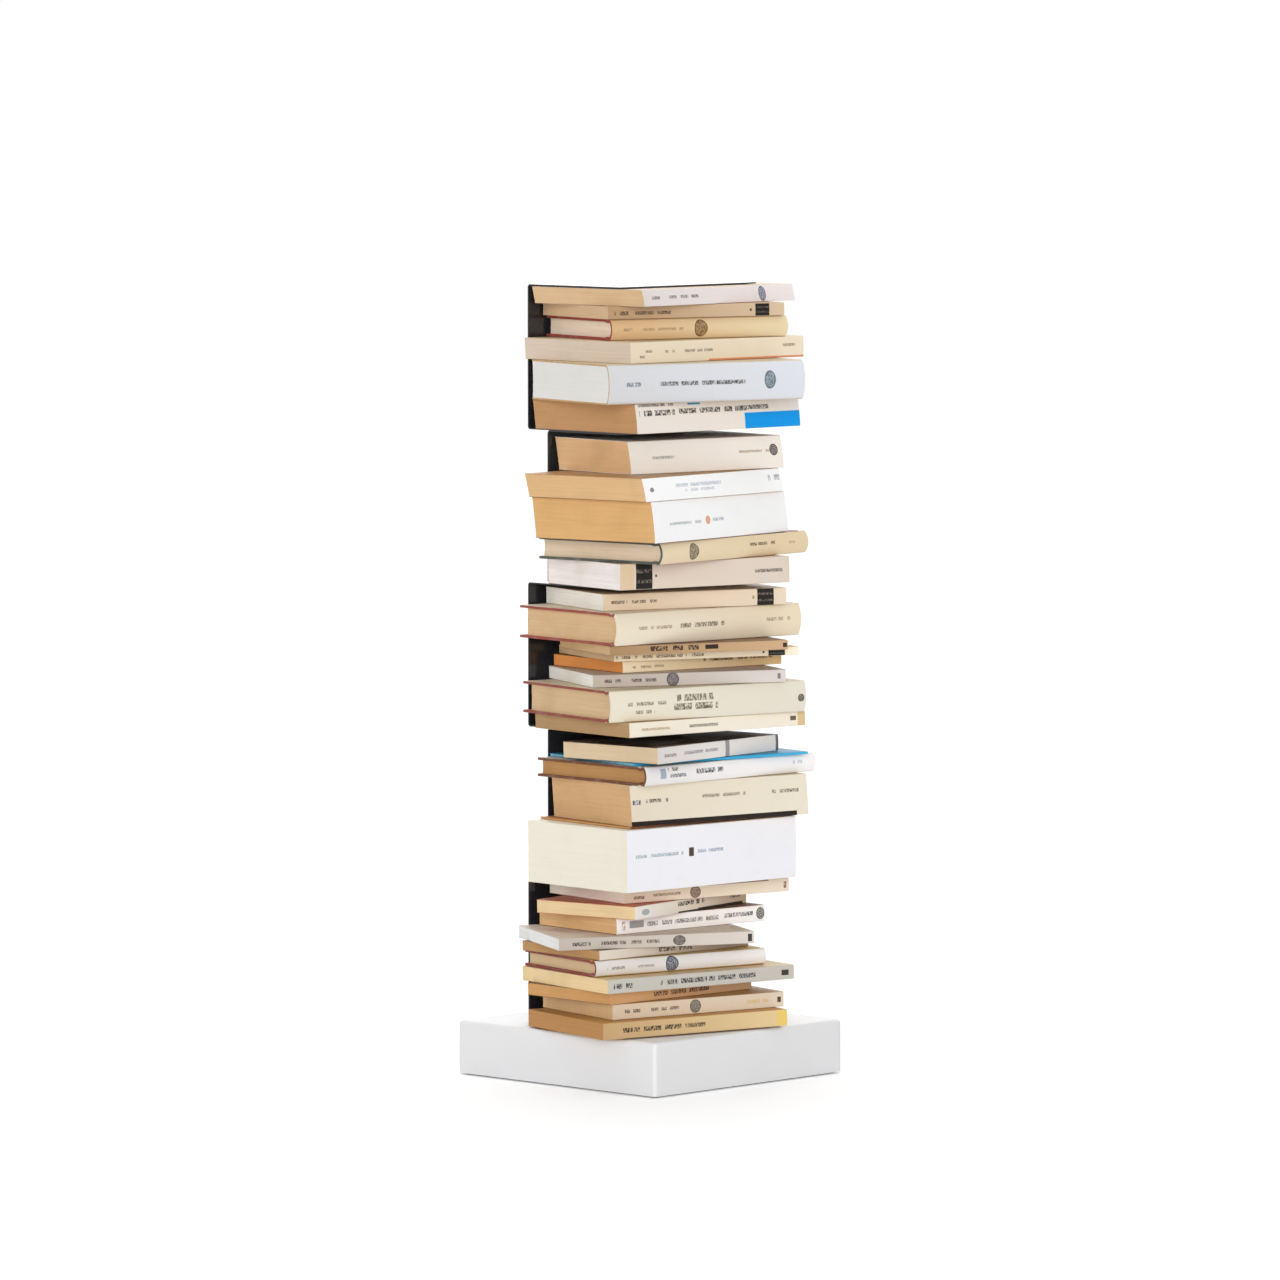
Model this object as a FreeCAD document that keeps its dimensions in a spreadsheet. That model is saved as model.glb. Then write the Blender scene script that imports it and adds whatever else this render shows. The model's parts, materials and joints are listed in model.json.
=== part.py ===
import FreeCAD, Part
import os

import Sketcher

# A bookshelf shaped like a spine: a narrow column of five bays, folded from black sheet steel and riveted
# plate to plate, on a lacquered plinth that hides a ballast slab. Books lie flat in the bays.
# Lengths are millimetres and angles degrees. The origin lies on the floor under the middle of the plinth.
# The books' spines face -Y and their heads face -X, and the webs of the column stand behind them at +Y.

SIZES = {
    # the plinth: a cover with rounded edges on a thin mat, open below and closed by a plate
    "plinth_side": 250,
    "plinth_height": 50,
    "plinth_wall": 2,
    "plinth_round": 4,
    "mat_inset": 5.5,
    "mat_thickness": 1.5,
    "plate_thickness": 2,
    "plate_clearance": 0.3,
    "ballast_clearance": 3,
    "ballast_thickness": 20,
    "post_radius": 6,
    "post_inset": 25,
    # the column: deep trays and set-back links in turn, each one strip folded into a C
    "sheet": 1.2,
    "bend_round": 3,
    "least_inner_bend": 0.2,
    "shelf_width": 180,
    "shelf_depth": 117,
    "shelf_shift": 10,
    "link_setback": 25,
    "tray_clear": 130,
    "link_clear": 137.6,
    # countersunk screws and rivets, all flush with the plates
    "fastener_inset": 24,
    "rivet_radius": 2,
    "rivet_head_radius": 3,
    "rivet_head_depth": 0.8,
    "screw_radius": 2.5,
    "screw_head_radius": 4.6,
    "screw_head_depth": 1.8,
    "screw_length": 18,
    "foot_screw_radius": 2,
    "foot_screw_head_radius": 3.8,
    "foot_screw_head_depth": 1.6,
    "foot_screw_length": 14,
    # book formats
    "pocket_width": 110,
    "pocket_length": 178,
    "small_width": 117,
    "small_length": 187,
    "octavo_width": 128,
    "octavo_length": 199,
    "trade_width": 136,
    "trade_length": 208,
    "large_width": 143,
    "large_length": 215,
    # bindings
    "cover_sheet": 0.4,
    "cover_board": 2.5,
    "board_square": 3,
    "spine_bulge": 4,
    # how a stack fills its bay
    "book_gap": 0.3,
    "bay_1_headroom": 0.6,
    "bay_2_headroom": 5,
    "bay_3_headroom": 3,
    "bay_4_headroom": 6.5,
    "bay_5_headroom": 0.6,
}

# The stacks from the bottom bay up, and each stack from its lowest book up: name, format, binding, thickness
# before the stack is trimmed to its bay, turn about +Z, middle of the book in x, gap between book and web.
STACKS = {
    "bay_5": [
        ("book_34", "octavo", "paperback", 16.2, -13.6, -36.8, 26.2),
        ("book_33", "small", "paperback", 15, -13, -21.6, 26.3),
        ("book_32", "pocket", "paperback", 12, -2.5, -38.3, 31.8),
        ("book_31", "trade", "paperback", 14, -10.9, -26, 15.9),
        ("book_30", "small", "hardback", 16, -12.2, -33.1, 16.3),
        ("book_29", "pocket", "paperback", 9.5, -6, -37.8, 20.9),
        ("book_28", "small", "paperback", 12, -27.4, -49.2, 1.5),
        ("book_27", "pocket", "paperback", 16, -5.8, -8.8, 14.4),
        ("book_26", "pocket", "paperback", 13, 8.8, -22.7, 10.7),
        ("book_25", "small", "paperback", 13, -10, 8.8, 9.3),
    ],
    "bay_4": [
        ("book_24", "trade", "paperback", 56.5, -4.2, -20.3, 1.5),
        ("booklet", "octavo", "paperback", 1.8, -6.2, -10.4, 1.5),
        ("book_23", "octavo", "paperback", 37, -10.5, -4.7, 1.5),
        ("book_22", "large", "hardback", 17.2, -2.5, -1.4, 1.5),
        ("book_21", "octavo", "paperback", 2.4, -9.4, -2, 1.5),
        ("book_20", "pocket", "paperback", 15, 5.3, -22, 26.8),
    ],
    "bay_3": [
        ("book_19", "trade", "paperback", 14, -6.8, -12.7, 25),
        ("book_18", "large", "hardback", 30, -11.9, -18.6, 11.3),
        ("book_17", "small", "paperback", 12, -25.7, -13.4, 8),
        ("book_16", "pocket", "paperback", 11, -11, 8.2, 10.6),
        ("book_15", "small", "paperback", 8, -20.4, 7, 9.2),
        ("book_14", "pocket", "paperback", 9, -21.5, -22.3, 34.3),
        ("book_13", "large", "hardback", 31, -7.6, -9.3, 4.6),
        ("book_12", "small", "paperback", 16, -19.4, -5.1, 6),
    ],
    "bay_2": [
        ("book_11", "small", "paperback", 25, -11.7, -20.8, 9.2),
        ("book_10", "large", "hardback", 21, 5.1, -9.7, 1.5),
        ("book_09", "trade", "paperback", 39, 7.9, -30, 1.5),
        ("book_08", "trade", "paperback", 22, 6.7, -36.3, 1.5),
        ("book_07", "pocket", "paperback", 31, -7.9, -2.3, 1.5),
    ],
    "bay_1": [
        ("book_06", "trade", "paperback", 28, -2.1, 2.5, 13.7),
        ("book_05", "trade", "paperback", 37.5, -14.9, -19.7, 16.8),
        ("book_04", "large", "paperback", 20, -3.6, 2.1, 5.2),
        ("book_03", "small", "hardback", 19.8, -15.3, 6.8, 1.5),
        ("book_02", "small", "paperback", 12.2, -15.3, 1.6, 1.5),
        ("book_01", "trade", "paperback", 15.5, 2.2, 11, 1.5),
    ],
}

doc = FreeCAD.newDocument("SpineBookshelf")
subparts = []


# ---------------------------------------------------------------- the sheets of sizes

def fill_sheet(name, values):
    """A spreadsheet with one named number on each row."""
    sheet = doc.addObject("Spreadsheet::Sheet", name)
    for row, (alias, value) in enumerate(values.items(), start=1):
        sheet.set(f"A{row}", alias)
        sheet.set(f"B{row}", str(value))
        sheet.setAlias(f"B{row}", alias)
    return sheet


def book_sizes():
    """The four numbers of every book, under names that start with the book's own."""
    values = {}
    for stack in STACKS.values():
        for name, _, _, thickness, turn, side, back in stack:
            values[f"{name}_thickness"] = thickness
            values[f"{name}_turn"] = turn
            values[f"{name}_side"] = side
            values[f"{name}_back"] = back
    return values


fill_sheet("Sizes", SIZES)
fill_sheet("Books", book_sizes())
doc.recompute()


# ---------------------------------------------------------------- tools that bind shapes to the sheets

def place(obj, x="0", y="0", z="0", axis=(0, 0, 1), turn="0"):
    """Sets an object's place and turn from expressions."""
    spot = f"create(<<vector>>; {x}; {y}; {z})"
    spin = f"create(<<rotation>>; create(<<vector>>; {axis[0]}; {axis[1]}; {axis[2]}); {turn})"
    obj.setExpression("Placement", f"create(<<placement>>; {spot}; {spin})")


def box(name, length, width, height, x, y, z):
    """A box with its low corner at x, y, z."""
    obj = doc.addObject("Part::Box", name)
    obj.setExpression("Length", length)
    obj.setExpression("Width", width)
    obj.setExpression("Height", height)
    place(obj, x, y, z)
    return obj


def cylinder(name, radius, height, x, y, z, axis=(0, 0, 1), turn="0"):
    """A cylinder that starts at x, y, z."""
    obj = doc.addObject("Part::Cylinder", name)
    obj.setExpression("Radius", radius)
    obj.setExpression("Height", height)
    place(obj, x, y, z, axis, turn)
    return obj


def cone(name, low_radius, high_radius, height, x, y, z):
    """An upright cone that starts at x, y, z."""
    obj = doc.addObject("Part::Cone", name)
    obj.setExpression("Radius1", low_radius)
    obj.setExpression("Radius2", high_radius)
    obj.setExpression("Height", height)
    place(obj, x, y, z)
    return obj


def join(name, shapes):
    """Several shapes fused into one solid."""
    obj = doc.addObject("Part::MultiFuse", name)
    obj.Shapes = shapes
    return obj


def group(name, shapes):
    """Several shapes kept as solids of their own."""
    obj = doc.addObject("Part::Compound", name)
    obj.Links = shapes
    return obj


def cut(name, base, tool):
    """The base without the space that the tool takes."""
    obj = doc.addObject("Part::Cut", name)
    obj.Base = base
    obj.Tool = tool
    return obj


def finish(obj, label):
    """Labels an object as the sub-part of that name."""
    obj.Label = label
    subparts.append(obj)


def outline(body, name, role, corners, spans):
    """A closed outline of level and upright lines on one of the body's origin planes.

    A span is (direction, first corner, second corner, expression); corner None is the origin.
    """
    sketch = body.newObject("Sketcher::SketchObject", name)
    plane = next(feature for feature in body.Origin.OriginFeatures if feature.Role == role)
    sketch.AttachmentSupport = [(plane, "")]
    sketch.MapMode = "FlatFace"
    count = len(corners)
    points = [FreeCAD.Vector(across, up, 0) for across, up in corners]
    for line in range(count):
        sketch.addGeometry(Part.LineSegment(points[line], points[(line + 1) % count]))
    for line in range(count):
        following = (line + 1) % count
        run = points[following] - points[line]
        sketch.addConstraint(Sketcher.Constraint("Coincident", line, 2, following, 1))
        sketch.addConstraint(Sketcher.Constraint("Horizontal" if run.y == 0 else "Vertical", line))
    for direction, first, second, expression in spans:
        start = FreeCAD.Vector(0, 0, 0) if first is None else points[first]
        length = (points[second] - start).x if direction == "DistanceX" else (points[second] - start).y
        start_point = (-1, 1) if first is None else (first, 1)
        index = sketch.addConstraint(Sketcher.Constraint(direction, *start_point, second, 1, length))
        sketch.setExpression(f"Constraints[{index}]", expression)
    return sketch


def square_outline(body, name, half_side, expression):
    """A square about the origin, seen from above."""
    corners = [(-half_side, -half_side), (half_side, -half_side), (half_side, half_side), (-half_side, half_side)]
    spans = [
        ("DistanceX", 0, 1, expression),
        ("DistanceY", 1, 2, expression),
        ("DistanceX", None, 1, f"({expression}) / 2"),
        ("DistanceY", None, 2, f"({expression}) / 2"),
    ]
    return outline(body, name, "XY_Plane", corners, spans)


def pad(body, sketch, length, symmetric=False):
    """A pad of the sketch, to one side or to both sides of its plane."""
    feature = body.newObject("PartDesign::Pad", f"{body.Name}_pad")
    feature.Profile = sketch
    if symmetric:
        feature.SideType = "Symmetric"
    feature.setExpression("Length", length)
    doc.recompute()
    return feature


def round_edges(body, base, name, radius, wanted):
    """A fillet along every edge of the base that wanted picks."""
    names = [f"Edge{number}" for number, edge in enumerate(base.Shape.Edges, start=1) if wanted(edge)]
    feature = body.newObject("PartDesign::Fillet", name)
    feature.Base = (base, names)
    feature.setExpression("Radius", radius)
    doc.recompute()
    return feature


def is_upright(edge):
    """Whether an edge runs along Z."""
    box_of_edge = edge.BoundBox
    return box_of_edge.ZLength > box_of_edge.XLength + box_of_edge.YLength


# ---------------------------------------------------------------- sizes and places that several pieces share

PLATE_SIDE = "(Sizes.plinth_side - 2 * (Sizes.plinth_wall + Sizes.plate_clearance))"
BALLAST_SIDE = "(Sizes.plinth_side - 2 * (Sizes.plinth_wall + Sizes.ballast_clearance))"
MAT_SIDE = "(Sizes.plinth_side - 2 * Sizes.mat_inset)"
COLUMN_BACK = "Sizes.shelf_shift + Sizes.shelf_depth / 2"
COLUMN_FRONT = "Sizes.shelf_shift - Sizes.shelf_depth / 2"
TRAY_WEB = f"{COLUMN_BACK} - Sizes.sheet"
LINK_WEB = f"{TRAY_WEB} - Sizes.link_setback"

FOLDS = {
    "bay_5": ("tray_lower", "Sizes.tray_clear", TRAY_WEB),
    "bay_4": ("link_lower", "Sizes.link_clear", LINK_WEB),
    "bay_3": ("tray_middle", "Sizes.tray_clear", TRAY_WEB),
    "bay_2": ("link_upper", "Sizes.link_clear", LINK_WEB),
    "bay_1": ("tray_upper", "Sizes.tray_clear", TRAY_WEB),
}

fold_bottoms = {}
height_so_far = "Sizes.plinth_height"
for bay, (_, clear, _) in FOLDS.items():
    fold_bottoms[bay] = height_so_far
    height_so_far = f"{height_so_far} + {clear} + 2 * Sizes.sheet"


def four_spots(half_across, front, back):
    """The four corners of a fastener pattern as expressions."""
    return [(f"{sign}({half_across})", y) for sign in ("-", "") for y in (front, back)]


# ---------------------------------------------------------------- rivets and screws

RIVET_ACROSS = "Sizes.shelf_width / 2 - Sizes.fastener_inset"
RIVET_FRONT = f"{COLUMN_FRONT} + Sizes.fastener_inset"
RIVET_BACK = f"{LINK_WEB} - Sizes.fastener_inset"
SCREW_BACK = f"{TRAY_WEB} - Sizes.fastener_inset"


def rivet(name, x, y, z):
    """A rivet through two sheets, countersunk and flush on both sides."""
    grip = "2 * Sizes.sheet"
    depth = "Sizes.rivet_head_depth"
    low_head = cone(f"{name}_low", "Sizes.rivet_head_radius", "Sizes.rivet_radius", depth, x, y, z)
    top = f"{z} + {grip} - {depth}"
    high_head = cone(f"{name}_high", "Sizes.rivet_radius", "Sizes.rivet_head_radius", depth, x, y, top)
    shank = cylinder(f"{name}_shank", "Sizes.rivet_radius", grip, x, y, z)
    return join(name, [low_head, shank, high_head])


rivets = {}
for joint, bay in enumerate(list(FOLDS)[1:], start=1):
    label = f"rivets_joint_{joint}"
    bottom = f"{fold_bottoms[bay]} - Sizes.sheet"
    pieces = []
    for number, (x, y) in enumerate(four_spots(RIVET_ACROSS, RIVET_FRONT, RIVET_BACK), start=1):
        pieces.append(rivet(f"rivet_{joint}_{number}", x, y, bottom))
    rivets[bay] = group(label, pieces)
    finish(rivets[bay], label)

screw_pieces = []
screw_top = "Sizes.plinth_height + Sizes.sheet"
for number, (x, y) in enumerate(four_spots(RIVET_ACROSS, RIVET_FRONT, SCREW_BACK), start=1):
    name = f"column_screw_{number}"
    depth = "Sizes.screw_head_depth"
    head_bottom = f"{screw_top} - {depth}"
    shank_bottom = f"{screw_top} - Sizes.screw_length"
    head = cone(f"{name}_head", "Sizes.screw_radius", "Sizes.screw_head_radius", depth, x, y, head_bottom)
    shank = cylinder(f"{name}_shank", "Sizes.screw_radius", "Sizes.screw_length", x, y, shank_bottom)
    screw_pieces.append(join(name, [head, shank]))
column_screws = group("column_screws", screw_pieces)
finish(column_screws, "column_screws")

POST_ACROSS = f"{BALLAST_SIDE} / 2 - Sizes.post_inset"
foot_screw_pieces = []
post_pieces = []
post_bottom = "Sizes.mat_thickness + Sizes.plate_thickness"
ballast_bottom = "Sizes.plinth_height - Sizes.plinth_wall - Sizes.ballast_thickness"
for number, (x, y) in enumerate(four_spots(POST_ACROSS, f"-({POST_ACROSS})", POST_ACROSS), start=1):
    name = f"foot_screw_{number}"
    start = "Sizes.mat_thickness"
    head_radius = "Sizes.foot_screw_head_radius"
    head = cone(f"{name}_head", head_radius, "Sizes.foot_screw_radius", "Sizes.foot_screw_head_depth", x, y, start)
    shank = cylinder(f"{name}_shank", "Sizes.foot_screw_radius", "Sizes.foot_screw_length", x, y, start)
    foot_screw_pieces.append(join(name, [head, shank]))
    post_height = f"{ballast_bottom} - ({post_bottom})"
    post_pieces.append(cylinder(f"post_{number}", "Sizes.post_radius", post_height, x, y, post_bottom))
underplate_screws = group("underplate_screws", foot_screw_pieces)
finish(underplate_screws, "underplate_screws")
spacer_posts = cut("spacer_posts", group("posts", post_pieces), underplate_screws)
finish(spacer_posts, "spacer_posts")


# ---------------------------------------------------------------- the plinth

cover = doc.addObject("PartDesign::Body", "plinth_cover")
cover_half = SIZES["plinth_side"] / 2
cover_sketch = square_outline(cover, "plinth_cover_outline", cover_half, "Sizes.plinth_side")
cover_block = pad(cover, cover_sketch, "Sizes.plinth_height - Sizes.mat_thickness")
cover_round = round_edges(
    cover, cover_block, "plinth_cover_round", "Sizes.plinth_round", lambda edge: edge.BoundBox.ZMax > 1
)
shell = cover.newObject("PartDesign::Thickness", "plinth_cover_shell")
open_face = min(range(len(cover_round.Shape.Faces)), key=lambda index: cover_round.Shape.Faces[index].CenterOfMass.z)
shell.Base = (cover_round, [f"Face{open_face + 1}"])
shell.Reversed = True
shell.setExpression("Value", "Sizes.plinth_wall")
place(cover, z="Sizes.mat_thickness")
base_shell = cut("base_shell", cover, column_screws)
finish(base_shell, "base_shell")

plate = doc.addObject("PartDesign::Body", "plate")
plate_half = SIZES["plinth_side"] / 2 - SIZES["plinth_wall"] - SIZES["plate_clearance"]
plate_sketch = square_outline(plate, "plate_outline", plate_half, PLATE_SIDE)
plate_pad = pad(plate, plate_sketch, "Sizes.plate_thickness")
round_edges(plate, plate_pad, "plate_round", "Sizes.plinth_round", is_upright)
place(plate, z="Sizes.mat_thickness")
underplate = cut("underplate", plate, underplate_screws)
finish(underplate, "underplate")

mat_corner = f"-{MAT_SIDE} / 2"
foot_mat = box("foot_mat", MAT_SIDE, MAT_SIDE, "Sizes.mat_thickness", mat_corner, mat_corner, "0")
finish(foot_mat, "foot_mat")

ballast_corner = f"-{BALLAST_SIDE} / 2"
ballast_block = box(
    "ballast_block",
    BALLAST_SIDE,
    BALLAST_SIDE,
    "Sizes.ballast_thickness",
    ballast_corner,
    ballast_corner,
    ballast_bottom,
)
finish(cut("ballast_slab", ballast_block, column_screws), "ballast_slab")


# ---------------------------------------------------------------- the folded trays and links

def folded_strip(name, clear_name, depth, depth_expression, back, bottom):
    """A strip folded into a C that opens to the front: a web between two plates, with round bends."""
    body = doc.addObject("PartDesign::Body", f"{name}_strip")
    sheet = SIZES["sheet"]
    height = SIZES[clear_name] + 2 * sheet
    corners = [
        (-depth, 0), (0, 0), (0, height), (-depth, height),
        (-depth, height - sheet), (-sheet, height - sheet), (-sheet, sheet), (-depth, sheet),
    ]
    spans = [
        ("DistanceX", 0, 1, depth_expression),
        ("DistanceY", 1, 2, f"Sizes.{clear_name} + 2 * Sizes.sheet"),
        ("DistanceX", 3, 2, depth_expression),
        ("DistanceY", 4, 3, "Sizes.sheet"),
        ("DistanceX", 5, 2, "Sizes.sheet"),
        ("DistanceY", 0, 7, "Sizes.sheet"),
    ]
    sketch = outline(body, f"{name}_profile", "YZ_Plane", corners, spans)
    sketch.addConstraint(Sketcher.Constraint("Coincident", 1, 1, -1, 1))
    strip = pad(body, sketch, "Sizes.shelf_width", symmetric=True)

    def is_bend(edge, y):
        """Whether an edge runs along X at this y."""
        bounds = edge.BoundBox
        return bounds.XLength > 1 and abs(bounds.YMin - y) < 0.01 and abs(bounds.YMax - y) < 0.01

    outer = round_edges(body, strip, f"{name}_outer_bend", "Sizes.bend_round", lambda edge: is_bend(edge, 0))
    inner_radius = "max(Sizes.bend_round - Sizes.sheet; Sizes.least_inner_bend)"
    round_edges(body, outer, f"{name}_inner_bend", inner_radius, lambda edge: is_bend(edge, -sheet))
    place(body, y=back, z=bottom)
    return body


bays = list(FOLDS)
for position, (bay, (label, clear, web)) in enumerate(FOLDS.items()):
    clear_name = clear.split(".")[1]
    setback = SIZES["link_setback"] if web == LINK_WEB else 0
    depth_expression = f"{web} + Sizes.sheet - ({COLUMN_FRONT})"
    back = f"{web} + Sizes.sheet"
    strip = folded_strip(
        label, clear_name, SIZES["shelf_depth"] - setback, depth_expression, back, fold_bottoms[bay]
    )
    below = column_screws if position == 0 else rivets[bay]
    strip = cut(f"{label}_drilled_below", strip, below)
    if position + 1 < len(bays):
        strip = cut(f"{label}_drilled_above", strip, rivets[bays[position + 1]])
    finish(strip, label)


# ---------------------------------------------------------------- books

def paperback(name, length, width, thickness):
    """A folded cover, open at the fore-edge, and a block of pages trimmed flush with it."""
    wrap = "Sizes.cover_sheet"
    left = f"-{length} / 2"
    front = f"-{width} / 2"
    inside = f"{thickness} - 2 * {wrap}"
    outside = box(f"{name}_outside", length, width, thickness, left, front, "0")
    slot = box(f"{name}_slot", f"2 * {length}", width, inside, f"-{length}", f"{front} + {wrap}", wrap)
    folded = cut(f"{name}_cover", outside, slot)
    pages = box(f"{name}_pages", length, f"{width} - {wrap}", inside, left, f"{front} + {wrap}", wrap)
    return group(name, [folded, pages])


def hardback(name, length, width, thickness):
    """Two boards and a rounded spine, and a block of pages that stands in from the boards' edges."""
    board = "Sizes.cover_board"
    bulge = "Sizes.spine_bulge"
    square = "Sizes.board_square"
    left = f"-{length} / 2"
    front = f"-{width} / 2"
    radius = f"(({thickness} / 2) ^ 2 + {bulge} ^ 2) / (2 * {bulge})"
    middle = f"{front} + {radius}"
    back = box(f"{name}_back", length, bulge, thickness, left, front, "0")
    barrel = cylinder(f"{name}_barrel", radius, length, left, middle, f"{thickness} / 2", (0, 1, 0), "90")
    spine = doc.addObject("Part::Common", f"{name}_spine")
    spine.Base = back
    spine.Tool = barrel
    hinge = f"{front} + {bulge}"
    wide = f"{width} - {bulge}"
    low_board = box(f"{name}_low_board", length, wide, board, left, hinge, "0")
    high_board = box(f"{name}_high_board", length, wide, board, left, hinge, f"{thickness} - {board}")
    case = join(f"{name}_case", [low_board, spine, high_board])
    pages = box(
        f"{name}_pages",
        f"{length} - 2 * {square}",
        f"{wide} - {square}",
        f"{thickness} - 2 * {board}",
        f"{left} + {square}",
        hinge,
        board,
    )
    return group(name, [case, pages])


def stack_books(bay, stack):
    """The books of one bay, trimmed in thickness so that the stack fills the bay up to its headroom."""
    _, clear, web = FOLDS[bay]
    floor = f"{fold_bottoms[bay]} + Sizes.sheet"
    thicknesses = [f"Books.{entry[0]}_thickness" for entry in stack]
    room = f"{clear} - Sizes.{bay}_headroom - {len(stack)} * Sizes.book_gap"
    trim = f"({room}) / ({' + '.join(thicknesses)})"
    for count, (name, paper, binding, _, _, _, _) in enumerate(stack):
        length = f"Sizes.{paper}_length"
        width = f"Sizes.{paper}_width"
        thickness = f"({thicknesses[count]} * {trim})"
        make = hardback if binding == "hardback" else paperback
        obj = make(name, length, width, thickness)
        turn = f"Books.{name}_turn"
        reach = f"{width} / 2 * cos({turn}) + {length} / 2 * abs(sin({turn}))"
        y = f"{web} - Books.{name}_back - ({reach})"
        below = " + ".join(thicknesses[:count]) or "0"
        z = f"{floor} + {count + 1} * Sizes.book_gap + ({below}) * {trim}"
        place(obj, f"Books.{name}_side", y, z, turn=turn)
        finish(obj, name)


for bay, stack in STACKS.items():
    stack_books(bay, stack)


# ---------------------------------------------------------------- check and write

doc.recompute()
failed = [obj.Name for obj in doc.Objects if "Invalid" in obj.State or "Error" in obj.State]
if failed:
    raise RuntimeError("failed objects: " + ", ".join(failed))
for part in subparts:
    if part.Shape.isNull() or not part.Shape.isValid() or not part.Shape.Solids:
        raise RuntimeError("bad shape: " + part.Label)

os.makedirs("parts", exist_ok=True)
for part in subparts:
    part.Shape.exportStep(f"parts/{part.Label}.step")
    bounds = part.Shape.BoundBox
    print(
        f"{part.Label}: {len(part.Shape.Solids)} solids, "
        f"x {bounds.XMin:.1f} to {bounds.XMax:.1f}, y {bounds.YMin:.1f} to {bounds.YMax:.1f}, "
        f"z {bounds.ZMin:.1f} to {bounds.ZMax:.1f}, {part.Shape.Volume / 1000:.1f} cm3"
    )
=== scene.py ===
import json
import math
import random

import bmesh
import bpy
from mathutils import Matrix, Vector


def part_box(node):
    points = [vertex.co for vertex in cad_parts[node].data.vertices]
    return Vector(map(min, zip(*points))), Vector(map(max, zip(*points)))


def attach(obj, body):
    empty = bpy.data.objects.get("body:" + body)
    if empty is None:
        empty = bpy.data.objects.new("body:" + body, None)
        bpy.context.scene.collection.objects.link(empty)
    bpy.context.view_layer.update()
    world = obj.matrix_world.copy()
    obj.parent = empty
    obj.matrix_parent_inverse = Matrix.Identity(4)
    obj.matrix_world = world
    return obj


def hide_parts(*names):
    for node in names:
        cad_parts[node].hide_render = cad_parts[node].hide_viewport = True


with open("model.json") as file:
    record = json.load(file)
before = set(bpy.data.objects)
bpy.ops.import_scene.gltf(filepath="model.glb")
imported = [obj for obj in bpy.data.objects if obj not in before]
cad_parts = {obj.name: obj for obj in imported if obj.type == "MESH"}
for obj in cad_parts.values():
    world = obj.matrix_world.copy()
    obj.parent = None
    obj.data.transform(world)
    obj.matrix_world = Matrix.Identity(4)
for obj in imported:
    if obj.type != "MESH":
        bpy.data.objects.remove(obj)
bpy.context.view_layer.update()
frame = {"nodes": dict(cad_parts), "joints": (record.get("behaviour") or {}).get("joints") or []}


# ------------------------------------------------------------------ camera
# A long lens a good way off to the left of the front, a little above the top of the shelf and looking
# slightly down, so that upright edges stay nearly upright.
camera_data = bpy.data.cameras.new("camera")
camera_data.sensor_width = 36
camera_data.lens = 239.06
camera_data.shift_x = -0.0079
camera = bpy.data.objects.new("camera", camera_data)
bpy.context.scene.collection.objects.link(camera)
bpy.context.scene.camera = camera
CAMERA_YAW = 0.81009
CAMERA_PITCH = 0.07892
CAMERA_DISTANCE = 7.7693
CAMERA_HEIGHT = 1.0147
camera.location = (
    -CAMERA_DISTANCE * math.sin(CAMERA_YAW),
    -CAMERA_DISTANCE * math.cos(CAMERA_YAW),
    CAMERA_HEIGHT,
)
camera.rotation_euler = (math.pi / 2 - CAMERA_PITCH, 0, -CAMERA_YAW)
bpy.context.scene.view_settings.view_transform = "Standard"


# ------------------------------------------------------------------ studio
# A plain white floor that takes a soft shadow, in a white room. One broad light hangs overhead, one at the
# front left reaches in between the books, and one behind brings out the edges of the column.
FLOOR_HALF = 9.0
FLOOR_TONE = 0.80
FLOOR_LIFT = 0.30
ROOM_LEVEL = 0.36


def link_object(name, data):
    """A new object in the scene."""
    made = bpy.data.objects.new(name, data)
    bpy.context.scene.collection.objects.link(made)
    return made


def new_material(name):
    """A new material and its node tree."""
    material = bpy.data.materials.new(name)
    material.use_nodes = True
    return material, material.node_tree


def node(tree, kind, **settings):
    """A new node with the given settings."""
    made = tree.nodes.new(kind)
    for setting, value in settings.items():
        setattr(made, setting, value)
    return made


def calc(tree, operation, *values):
    """A Math node fed with sockets or plain numbers; gives its result."""
    made = node(tree, "ShaderNodeMath", operation=operation)
    for socket, value in zip(made.inputs, values):
        if isinstance(value, (int, float)):
            socket.default_value = value
        else:
            tree.links.new(value, socket)
    return made.outputs[0]


floor_mesh = bmesh.new()
bmesh.ops.create_grid(floor_mesh, x_segments=1, y_segments=1, size=FLOOR_HALF)
floor_data = bpy.data.meshes.new("floor")
floor_mesh.to_mesh(floor_data)
floor = link_object("floor", floor_data)
floor_material, tree = new_material("white_floor")
tree.nodes.remove(tree.nodes["Principled BSDF"])
matt = node(tree, "ShaderNodeBsdfDiffuse")
matt.inputs["Color"].default_value = (FLOOR_TONE, FLOOR_TONE, FLOOR_TONE, 1)
lift = node(tree, "ShaderNodeEmission")
path = node(tree, "ShaderNodeLightPath")
seen = calc(tree, "MAXIMUM", path.outputs["Is Camera Ray"], path.outputs["Is Glossy Ray"])
tree.links.new(calc(tree, "MULTIPLY", seen, FLOOR_LIFT), lift.inputs["Strength"])
both = node(tree, "ShaderNodeAddShader")
tree.links.new(matt.outputs[0], both.inputs[0])
tree.links.new(lift.outputs[0], both.inputs[1])
tree.links.new(both.outputs[0], tree.nodes["Material Output"].inputs["Surface"])
floor_data.materials.append(floor_material)

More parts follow.
